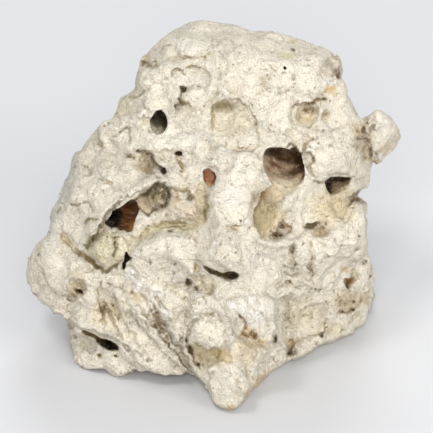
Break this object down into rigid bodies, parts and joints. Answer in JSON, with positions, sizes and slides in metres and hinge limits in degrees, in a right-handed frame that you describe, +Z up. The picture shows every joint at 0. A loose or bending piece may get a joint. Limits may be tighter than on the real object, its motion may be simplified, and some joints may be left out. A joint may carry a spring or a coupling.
{
  "type": "aquarium rock",
  "caption": "Leaning pillar of pale, pitted limestone with open caves and bowls, standing on a flat broken base; decor and shelter for a tank.",
  "frame": {"origin": "centre of the bounding box's bottom face, on the surface the rock rests on", "axes": "+X to the right seen from the front, the side with the large caves; +Y towards the back; +Z up"},
  "size_m": [0.2238, 0.1702, 0.1977],
  "materials": {
    "limestone": "matte, chalky, porous"
  },
  "bodies": {
    "root": {"rock": "limestone"}
  },
  "joints": []
}
